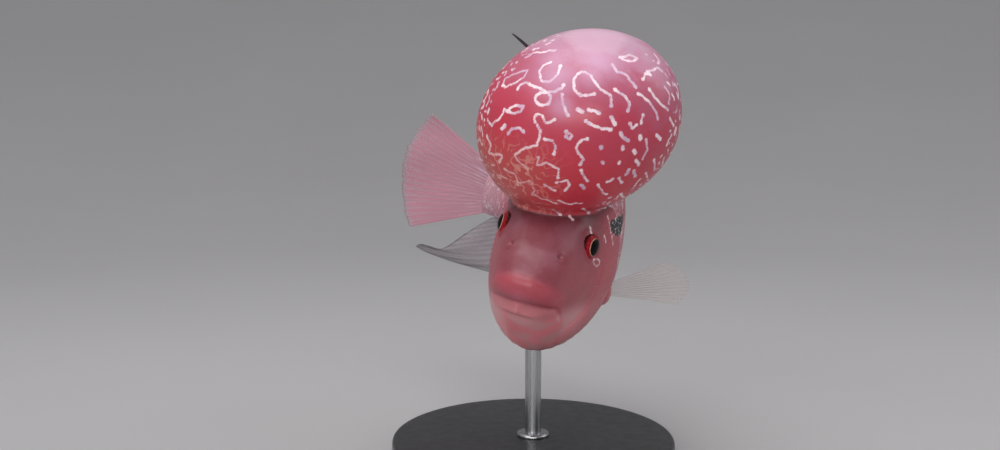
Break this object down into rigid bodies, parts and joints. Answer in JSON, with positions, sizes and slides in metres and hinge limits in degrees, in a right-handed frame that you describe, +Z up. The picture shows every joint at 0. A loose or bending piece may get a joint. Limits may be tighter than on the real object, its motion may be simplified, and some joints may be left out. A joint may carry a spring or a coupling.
{
  "type": "flowerhorn cichlid",
  "caption": "Life-size still model of a flowerhorn cichlid with a large nuchal hump, turning with its tail swung to one side, on a round display stand.",
  "frame": {"origin": "centre of the stand base's underside, on the floor", "axes": "+Z up; the head faces -Y, turned a little to -X; +X is to the right of a viewer who faces the head"},
  "size_m": [0.1716, 0.2363, 0.2436],
  "materials": {
    "head_skin": "wet, scaleless pink-mauve skin",
    "hump_skin": "wet red skin with white worm marks, pale crown",
    "scaled_body": "pink-red scales with pale pearl edges",
    "fin": "thin rayed membrane, pink with grey edge",
    "clear_fin": "nearly clear rayed membrane",
    "eye": "polished, red iris and black pupil",
    "stand_metal": "satin",
    "stand_black": "satin black"
  },
  "bodies": {
    "root": {"head": "head_skin", "lower_jaw": "head_skin", "nuchal_hump": "hump_skin", "trunk": "scaled_body", "tail_peduncle": "scaled_body", "dorsal_fin": "fin", "anal_fin": "fin", "caudal_fin": "fin", "pectoral_fin_left": "clear_fin", "pectoral_fin_right": "clear_fin", "pelvic_fin_left": "fin", "pelvic_fin_right": "fin", "eye_left": "eye", "eye_right": "eye", "stand_rod": "stand_metal", "stand_base": "stand_black"}
  },
  "joints": []
}
